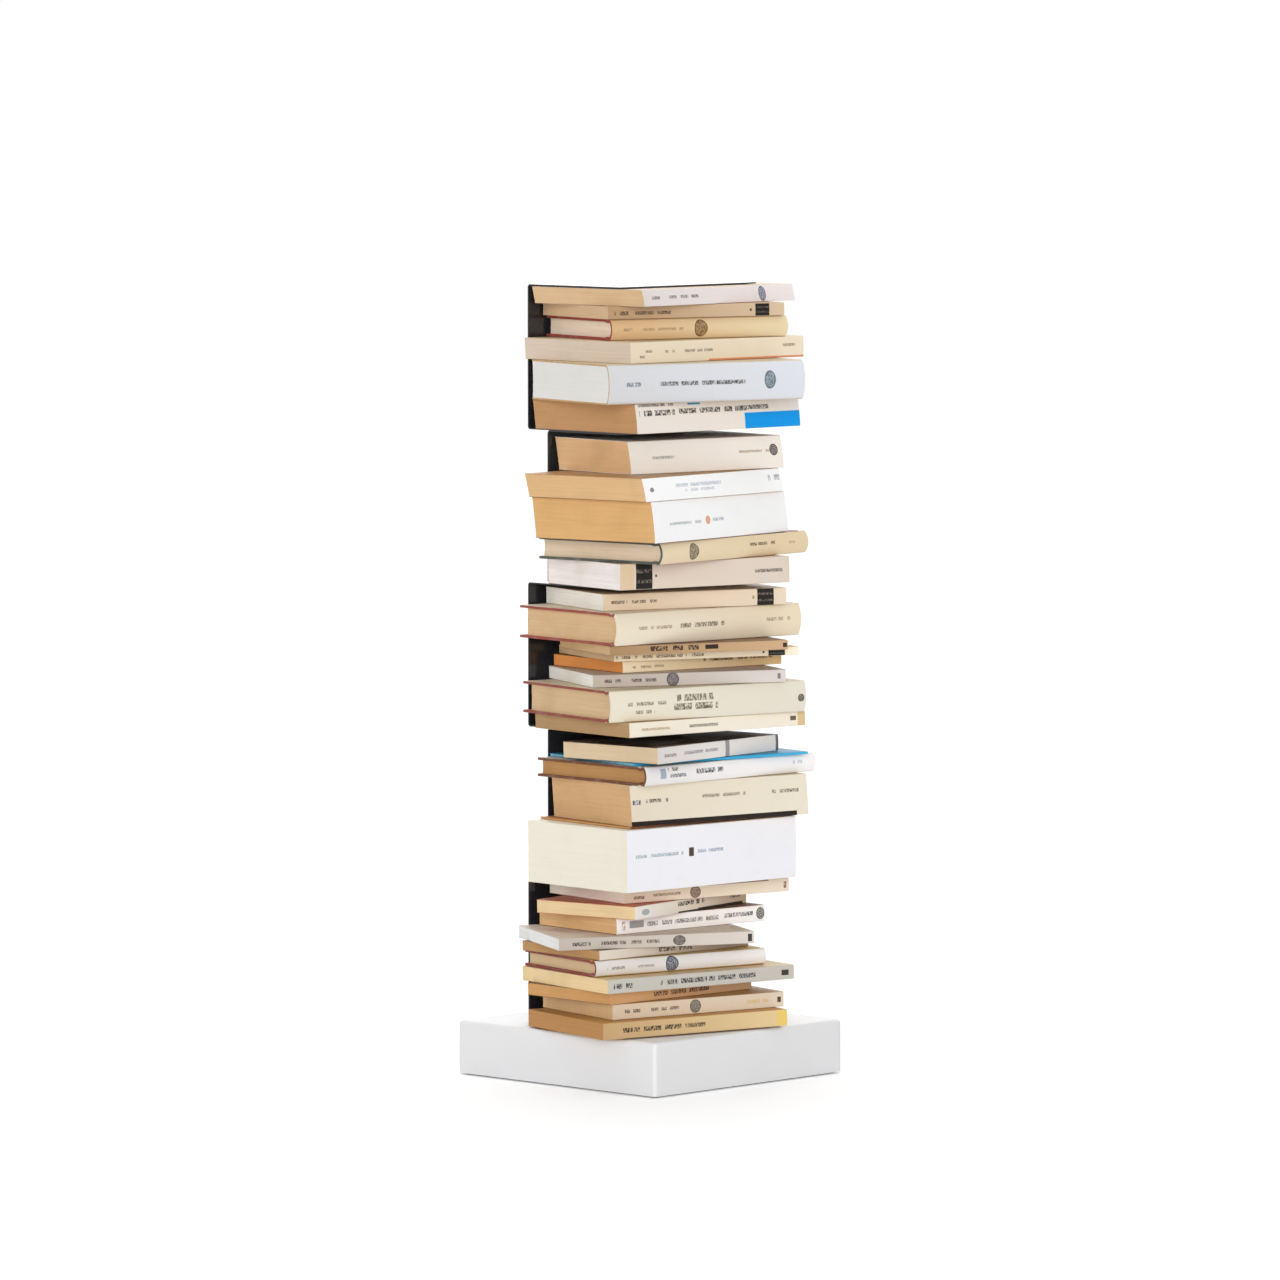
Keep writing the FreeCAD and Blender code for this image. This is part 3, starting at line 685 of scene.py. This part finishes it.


# ------------------------------------------------------------------ paperbacks
# Thin folded covers glued to blocks that are trimmed flush with them. Backs that were read a lot lean over
# or have gone round; two books have smooth pale leaves, and one a cover of thick card.

# Each entry: lean and crown of the back in mm, tones of the back at head and tail, of the sides and of the
# leaves, and the marks, print except a few of painted shade: kind, start and end along the back in mm, middle
# as a share of the thickness, height in mm, colour.
PAPERBACKS = {
    "book_01": (3.8, 0.5, "e1d8d4", "efe6e5", "cbb59b", "d2b18a", [
        ("line", 11, 24, 0.5, 2.8, "6f6a68"), ("line", 33, 75, 0.52, 2.8, "6f6a68"),
        ("round", 158.5, 168.5, 0.5, 13.5, "5d6880")]),
    "book_02": (0.5, 0.4, "b2916f", "d1ba9c", "b9946e", "d6b590", [
        ("line", 6, 21, 0.45, 3.4, "2c221c"), ("line", 26, 66, 0.45, 3.0, "4a3a30"),
        ("label", 156, 171, 0.5, 11, "15120f"), ("block", 150, 152, 0.5, 2.4, "3a2f28")]),
    "book_04": (1.0, 0.5, "e4d5bb", "ecdec6", "d6bd97", "d5c4b2", [
        ("line", 8, 17, 0.3, 2.4, "7b7264"), ("line", 18, 26, 0.55, 2.4, "8a7a5c"),
        ("line", 42, 54, 0.52, 2.4, "8a8272"), ("line", 66, 104, 0.52, 2.4, "7e7768"),
        ("line", 189, 205, 0.6, 2.6, "8b6c58"), ("block", 96, 215, 0.05, 1.8, "dc8f62")]),
    "book_05": (0.5, 4.2, "cfcfd1", "d7dae0", "c9b79a", "e6e4e0", [
        ("line", 18, 33, 0.5, 3.8, "5f6c7c"), ("line", 54, 144, 0.5, 3.8, "4c4946"),
        ("round", 164.5, 176.5, 0.53, 16.5, "566a76")]),
    "book_06": (3.8, 0.6, "ece4dc", "ece3da", "7c6a5c", "bf9266", [
        ("line", 4, 49, 0.68, 5.0, "221f20"), ("line", 54, 141, 0.7, 4.6, "2b2726"),
        ("line", 141, 171, 0.72, 4.0, "3b3432"), ("block", 137, 208, 0.26, 15, "0396e6"),
        ("line", 2, 48, 0.94, 2.4, "39424c"), ("block", 66, 82, 0.94, 2.2, "4a98c2")]),
    "book_07": (6.0, 0.8, "f4ece2", "efe6dc", "f2e9dd", "e2b88a", [
        ("line", 26, 52, 0.48, 2.6, "98928a"), ("line", 127, 164, 0.55, 2.2, "a8937a"),
        ("round", 163, 172.5, 0.57, 10.5, "1c1a19")]),
    "book_08": (5.4, 0.5, "fefefe", "ffffff", "ae8350", "d5af81", [
        ("round", 8, 14, 0.5, 4, "4c4f54"), ("line", 46, 116, 0.6, 3.0, "b9c0cc"),
        ("line", 60, 104, 0.38, 2.4, "c0c6cf"), ("line", 188, 206, 0.62, 5, "a9aaae")]),
    "book_09": (4.6, 0.6, "fcfcfc", "fcfcfc", "77483e", "d6aa73", [
        ("line", 24, 74, 0.44, 2.4, "a9adb2"), ("round", 80, 87, 0.46, 7.5, "d98a4c"),
        ("line", 91, 108, 0.46, 3, "a6adb8")]),
    "book_11": (0.4, 0.4, "decfbd", "dacbbd", "cdb79c", "f4ece8", [
        ("block", 0, 15, 0.5, 24, "dcc3a2"), ("label", 17, 35, 0.5, 23, "1a1816"),
        ("block", 38, 40, 0.5, 2.4, "55483c"), ("line", 148, 179, 0.5, 3.0, "5d554e")]),
    "book_12": (0.4, 0.4, "dfcbb0", "e4d3bd", "d2bb9d", "fcf6ee", [
        ("line", 8, 24, 0.5, 2.8, "5d5348"), ("line", 29, 54, 0.5, 2.8, "5d5348"),
        ("block", 152, 154, 0.5, 3, "a38b6e"), ("label", 157, 174, 0.5, 15, "1b1917")]),
    "book_14": (0.4, 0.3, "a58460", "c8a680", "7a5a3f", "d2b084", [
        ("line", 40, 92, 0.6, 4.5, "2c2018"), ("block", 95, 108, 0.6, 4, "2c2018"),
        ("block", 173, 177, 0.5, 4, "3a2d24")]),
    "book_15": (0.4, 0.3, "fbe6c4", "fff0d6", "c39d6c", "eecaa0", [
        ("line", 2, 16, 0.5, 2.8, "6c5438"), ("line", 21, 69, 0.5, 2.8, "6c5438"),
        ("line", 72, 91, 0.5, 2.8, "7d6b55"), ("label", 156, 173, 0.5, 7, "1d1a17"),
        ("block", 150, 152, 0.5, 2, "5c4a38")]),
    "book_16": (0.4, 0.3, "f8e8c8", "dab984", "7c5532", "e89a55", [
        # The second, dark brown line high on book 16's back is painted shade of the gap under book 15.
        ("line", 11, 46, 0.45, 2.4, "9c8763"), ("line", 90, 168, 0.78, 3.0, "4a3220")]),
    "book_17": (0.4, 0.3, "c1b4a8", "d6cec8", "c9bcae", "fffaf3", [
        ("line", 11, 27, 0.5, 3.0, "4f4642"), ("line", 37, 61, 0.5, 3.0, "4f4642"),
        ("round", 71, 83, 0.5, 12, "4e4850"), ("block", 179, 182, 0.5, 5, "7f7b80")]),
    "book_19": (0.6, 0.4, "f0e7d5", "f1e8d7", "c09a68", "b3926a", [
        ("line", 14, 47, 0.5, 2.2, "b08a66"), ("line", 68, 104, 0.52, 2.6, "6e675c"),
        ("block", 190, 197, 0.55, 4, "6d5c48"), ("block", 199, 208, 0.5, 14, "dcbf92")]),
    # Book 20's sides are a dark brown cover made darker still, as painted shade of the gap under book 19.
    "book_20": (0.4, 0.4, "dfdad6", "f0ece8", "2c1917", "d5bf9f", [
        ("line", 9, 29, 0.48, 2.8, "8a7c80"), ("line", 38, 88, 0.52, 2.8, "8d8a94"),
        ("block", 99, 105, 0.5, 15, "9b979c"), ("block", 174, 178, 0.5, 15, "6c6a72")]),
    "book_21": (0.2, 0.2, "2aa6d6", "3db4e2", "2293c4", "7fb9c4", []),
    "book_23": (4.2, 0.6, "e3d8c4", "e8dfcc", "d4bf98", "d6ae80", [
        ("line", 2, 16, 0.58, 4.2, "46566c"), ("line", 17, 42, 0.6, 3.2, "3f3e39"),
        ("line", 80, 129, 0.63, 2.8, "83735d"), ("line", 159, 189, 0.62, 3.2, "5f554c"),
        # The dark strip along the foot of book 23's back is painted shade of the dark gap over the booklet
        # under it.
        ("block", 0, 186, 0.057, 4.2, "1f150e")]),
    "book_24": (0.5, 0.8, "f1f1f5", "f1f1f5", "efe8d6", "f0e9da", [
        ("line", 10, 68, 0.57, 3.0, "94a9b0"), ("block", 75, 81, 0.575, 8, "4e3f34"),
        ("line", 86, 117, 0.575, 3.0, "8f9db4")]),
    "book_25": (0.4, 0.4, "eedac4", "eadac6", "c77b62", "fff0e2", [
        ("line", 9, 22, 0.4, 2.8, "6c5040"), ("line", 32, 63, 0.5, 2.6, "8a705c"),
        ("round", 74, 86, 0.5, 11, "6a4c3c"), ("line", 181, 187, 0.5, 6, "7c4c38"),
        ("block", 0, 164, 0.95, 1.3, "8a6a4c")]),
    "book_26": (0.4, 0.4, "f3eee7", "d8c5a6", "bb5f48", "e6cb9f", [
        ("round", 10, 22, 0.5, 5.5, "93a0a6"), ("line", 66, 88, 0.7, 4, "3a3028"),
        ("line", 88, 110, 0.7, 4, "35332e"), ("line", 148, 168, 0.72, 4, "2f5068"),
        # The two dark blocks along the foot of book 26's back are painted shade of the gap above book 27.
        ("block", 68, 100, 0.07, 1.5, "3a322b"), ("block", 100, 172, 0.1, 2.4, "3a322b")]),
    "book_27": (0.4, 0.5, "fdf9f5", "fbf7f3", "6b5546", "e4ba86", [
        ("line", 6, 10, 0.5, 8, "a0705c"), ("block", 15, 32, 0.55, 6.5, "a3a4a6"),
        ("line", 36, 122, 0.5, 4.0, "868280"), ("line", 129, 164, 0.55, 3.8, "66646a"),
        ("round", 168, 178, 0.5, 11, "4c4a48")]),
    "book_28": (0.2, 0.3, "bcb1a6", "d6ccc3", "cdbfae", "fcfbfb", [
        ("line", 12, 30, 0.48, 3.4, "3e3836"), ("line", 40, 96, 0.5, 3.2, "574a40"),
        ("round", 109, 121, 0.5, 9, "4b443c"), ("block", 181, 185, 0.5, 7, "3c3732")]),
    "book_29": (0.4, 0.3, "e6dccf", "a8907a", "7c6a54", "bd9263", [
        ("line", 70, 110, 0.6, 5.2, "4a4436"), ("block", 112, 178, 0.8, 3, "7d684f")]),
    "book_31": (0.4, 0.3, "c6c2b7", "c4bfb5", "ccb184", "f0d4a4", [
        ("line", 6, 27, 0.5, 4.6, "33363c"), ("line", 58, 110, 0.52, 4.4, "2a2b30"),
        ("line", 112, 168, 0.52, 4.2, "33353b"), ("block", 194, 202, 0.5, 5, "3a3832")]),
    "book_32": (0.3, 0.3, "d3a06c", "d6b08b", "6c4c30", "cf9d66", [
        ("line", 54, 124, 0.5, 4.0, "4a2c18")]),
    "book_33": (0.4, 0.3, "dcc9b0", "e3d3bd", "b9935f", "e2bd8e", [
        ("line", 11, 30, 0.5, 3.2, "51422f"), ("line", 42, 72, 0.5, 3.0, "5f5140"),
        ("round", 84, 96, 0.5, 12, "5d5a58"), ("line", 146, 170, 0.5, 3.2, "d9bb84"),
        ("block", 180, 184, 0.5, 5, "574030")]),
    "book_34": (0.4, 0.3, "c3a174", "e3c897", "c08c4a", "be8d5a", [
        ("line", 21, 84, 0.5, 4.2, "1f1812"), ("line", 88, 110, 0.5, 3.8, "5b4a36"),
        ("block", 188, 199, 0.5, 14, "e9c96e")]),
    "booklet": (0.1, 0.1, "7c4c32", "1a1512", "a8713c", "d4a268", []),
}

# How thick a folded cover is and how round its corners, the same for the one of thick card with the tone of
# its edge, the books with smooth leaves, and by how many mm a book is cut back at its fore-edge.
COVER_CARD = 0.35 * MM
COVER_CORNER = 0.7 * MM
THICK_CARD = 1.4 * MM
THICK_CORNER = 3.0 * MM
THICK_CARDS = {"book_05": "cda976"}
CARD_EDGE = "b98f5c"
SMOOTH_BLOCKS = ("book_05", "book_24")
NARROWER = {"book_23": 3.4}
FLUSH = 0.2 * MM

for name, (lean, crown, head_tone, tail_tone, side_tone, leaf_tone, marks) in PAPERBACKS.items():
    book = Book(name, lean, crown, NARROWER.get(name, 0.0))
    streaks = FAINT_STREAKS if name in SMOOTH_BLOCKS else STREAKS
    leaves = leaf_paper(f"{name}_leaves", leaf_tone, streaks)
    card = THICK_CARD if name in THICK_CARDS else COVER_CARD
    make_pages(book, card, FLUSH, FLUSH, leaves)
    corner = THICK_CORNER if name in THICK_CARDS else min(COVER_CORNER, book.thickness / 3)
    finishes = [back_paper(book, head_tone, tail_tone, marks), cover_paper(book, side_tone, leaf_tone)]
    if name in THICK_CARDS:
        card_edge = speckled(
            f"{name}_card_edge", THICK_CARDS[name], CARD_EDGE, roughness=0.8, metallic=0.0, grain=300,
            relief=0.03 * MM,
        )
        finishes.append(card_edge)
    make_case(book, card, 0, corner, finishes)


# ------------------------------------------------------------------ hardbacks
# Two cloth-covered boards and a round back, wrapped in a paper jacket. The boards stand out beyond the
# leaves on three sides, a groove runs along each hinge, and a striped headband closes the back.

# Each entry: as for a paperback, with the tone of the cloth before that of the leaves.
HARDBACKS = {
    "book_03": (0, 4.0, "d9b78a", "e2d0aa", "d9bd92", "9c4436", "f2e0ca", [
        ("line", 12, 21, 0.5, 2.6, "9a8468"), ("line", 32, 75, 0.5, 2.4, "a98d66"),
        ("round", 87, 101, 0.5, 15.5, "7a5634")]),
    "book_10": (0, 4.0, "ecd8b6", "e8d3ae", "8f5247", "4d5148", "dac5aa", [
        ("round", 39, 53, 0.5, 15, "6b6350"), ("line", 128, 165, 0.6, 2.8, "3c352c"),
        ("line", 186, 198, 0.55, 2.4, "b8a27e")]),
    "book_13": (0, 4.0, "eadfc9", "e8d9be", "e4d6bf", "96463a", "d9b68c", [
        ("line", 20, 42, 0.52, 3.0, "a39176"), ("line", 45, 63, 0.52, 3.0, "a39176"),
        ("line", 73, 124, 0.53, 4.0, "5f5543"), ("line", 174, 202, 0.56, 3.2, "a39070")]),
    "book_18": (0, 3.0, "e7dfcb", "e1dacb", "d8c8aa", "8c4438", "d8b991", [
        ("line", 18, 60, 0.56, 3.2, "776c55"), ("line", 27, 48, 0.3, 3.2, "776c55"),
        ("line", 72, 112, 0.68, 6, "716753"), ("line", 67, 117, 0.4, 6, "6d6350"),
        ("round", 206, 213, 0.46, 7, "2a2620")]),
    "book_22": (0, 3.0, "ebe7e6", "faf8f7", "e6e2dc", "6a4026", "ba8b59", [
        ("block", 18, 25, 0.6, 9, "a4b2c0"), ("line", 28, 41, 0.8, 3.2, "6a4a2a"),
        ("line", 30, 50, 0.46, 3.2, "55626e"), ("line", 63, 97, 0.58, 4.4, "36404a"),
        ("line", 186, 198, 0.6, 3, "b3c0cc")]),
    "book_30": (0, 3.0, "e1ddd9", "efecea", "c9a964", "8a4038", "dabe96", [
        ("line", 12, 31, 0.5, 2.6, "8d8278"), ("line", 43, 66, 0.5, 2.4, "a89c92"),
        ("round", 76, 90, 0.5, 14, "3c4a60"), ("block", 0, 187, 0.04, 1.2, "c9a45c")]),
}
JACKETED = ("book_13", "book_18")
BOARD = 2.3 * MM
BOARD_CORNER = 1.1 * MM
SQUARE = 3.0 * MM
FORE_SQUARES = {"book_03": 1.6 * MM, "book_13": 7.5 * MM, "book_18": 9.0 * MM}
HINGE_GROOVE = 0.9 * MM
WEAVE = 2400
WEAVE_RELIEF = 0.05 * MM
BAND_RADIUS = 0.9 * MM
BAND_OUT = 0.2 * MM


def board_cloth(book, tone):
    """Book cloth: a fine over-and-under weave, paler where it is rubbed."""
    material, tree = new_material(f"{book.name}_cloth")
    shader = tree.nodes["Principled BSDF"]
    shader.inputs["Roughness"].default_value = 0.75
    base = paint(tone)
    rubbed = tuple(0.65 * value + 0.2 for value in base[:3]) + (1,)
    weave = node(tree, "ShaderNodeTexChecker")
    weave.inputs["Scale"].default_value = WEAVE
    place = node(tree, "ShaderNodeTexCoord")
    tree.links.new(place.outputs["Object"], weave.inputs["Vector"])
    worn = noise(tree, scale=90, detail=4)
    colour = blend(tree, steps(tree, worn, 0.5, 0.8, 0, 0.5), base, rubbed)
    tree.links.new(colour, shader.inputs["Base Color"])
    bump(tree, weave.outputs["Fac"], WEAVE_RELIEF, strength=0.5)
    return material


def make_headband(book, material):
    """A striped roll of thread across each end of the back, between the boards."""
    mesh = bmesh.new()
    for end in (-1, 1):
        height = book.thickness - 2 * BOARD
        made = bmesh.ops.create_cone(
            mesh, cap_ends=True, segments=10, radius1=BAND_RADIUS, radius2=BAND_RADIUS, depth=height
        )
        x = end * (book.length / 2 - SQUARE + BAND_OUT)
        bmesh.ops.translate(mesh, vec=(x, 0, book.thickness / 2), verts=made["verts"])
    lengthwise = [edge for edge in mesh.edges if abs(edge.verts[0].co.z - edge.verts[1].co.z) > MM]
    bmesh.ops.subdivide_edges(mesh, edges=lengthwise, cuts=7, use_grid_fill=False)
    for vert in mesh.verts:
        vert.co.y += book.spine_y(vert.co.z / book.thickness) + BOARD + BAND_RADIUS
    bmesh.ops.recalc_face_normals(mesh, faces=mesh.faces)
    book.set_down(mesh)
    return finish_piece(f"{book.name}_headbands", mesh, f"{book.name}_body", [material])


band_thread, tree = new_material("headband_thread")
stripe = node(tree, "ShaderNodeTexWave", wave_type="BANDS", bands_direction="Z")
stripe.inputs["Scale"].default_value = 190
place = node(tree, "ShaderNodeTexCoord")
tree.links.new(place.outputs["Object"], stripe.inputs["Vector"])
shader = tree.nodes["Principled BSDF"]
shader.inputs["Roughness"].default_value = 0.6
striped = blend(tree, stripe.outputs["Fac"], paint("b5382e"), paint("efe6d2"))
tree.links.new(striped, shader.inputs["Base Color"])

for name, (lean, crown, head_tone, tail_tone, side_tone, cloth_tone, leaf_tone, marks) in HARDBACKS.items():
    book = Book(name, lean, crown)
    leaves = leaf_paper(f"{name}_leaves", leaf_tone)
    make_pages(book, BOARD, SQUARE, FORE_SQUARES.get(name, SQUARE), leaves)
    finishes = [
        back_paper(book, head_tone, tail_tone, marks),
        cover_paper(book, side_tone, tail_tone),
        board_cloth(book, cloth_tone),
    ]
    make_case(book, BOARD, HINGE_GROOVE, BOARD_CORNER, finishes, name in JACKETED)
    make_headband(book, band_thread)
